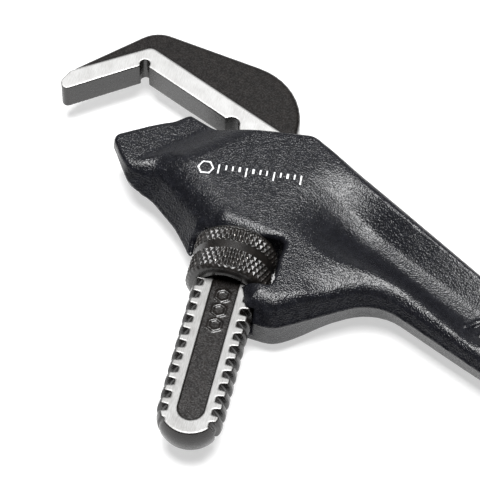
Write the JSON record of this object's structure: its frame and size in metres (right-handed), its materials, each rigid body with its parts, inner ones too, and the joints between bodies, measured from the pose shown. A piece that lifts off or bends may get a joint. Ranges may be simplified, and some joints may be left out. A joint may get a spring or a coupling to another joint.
{
  "type": "offset hex wrench",
  "caption": "Offset hex wrench: cast I-section handle and head with a smooth heel jaw, forged hook jaw on a threaded shank, knurled nut that opens and closes it.",
  "frame": {"origin": "centre of the hang hole, on the mid-plane of the casting", "axes": "+X along the handle to the jaws, +Y the side where the shank's free end comes out, +Z square to the flat sides"},
  "size_m": [0.243, 0.1557, 0.034],
  "materials": {
    "cast_enamel": "gloss black enamel over sand-cast iron",
    "forged_steel": "black oxide on the forged skin, bare ground steel on the flat faces",
    "nut_steel": "black oxide, diamond knurl worn bright on its tips",
    "spring_steel": "oil-tempered spring steel",
    "rivet_steel": "zinc plated"
  },
  "bodies": {
    "housing": {"handle_housing": "cast_enamel", "flat_spring": "spring_steel", "coil_spring": "spring_steel", "spring_rivet": "rivet_steel"},
    "nut": {"adjusting_nut": "nut_steel"},
    "hook": {"hook_jaw": "forged_steel"}
  },
  "joints": [
    {"name": "nut_spin", "type": "hinge", "parent": "housing", "child": "nut", "pos_m": [0.1143, 0.0459, 0], "axis": [-0.5, 0.866, 0], "range_deg": [-180, 2484]},
    {"name": "jaw_slide", "type": "slide", "parent": "housing", "child": "hook", "axis": [0.5, -0.866, 0], "range_m": [-0.003, 0.0414]}
  ],
  "couplings": [
    {"joint": "nut_spin", "follows": "jaw_slide", "rad_per_m": 1047.2}
  ]
}
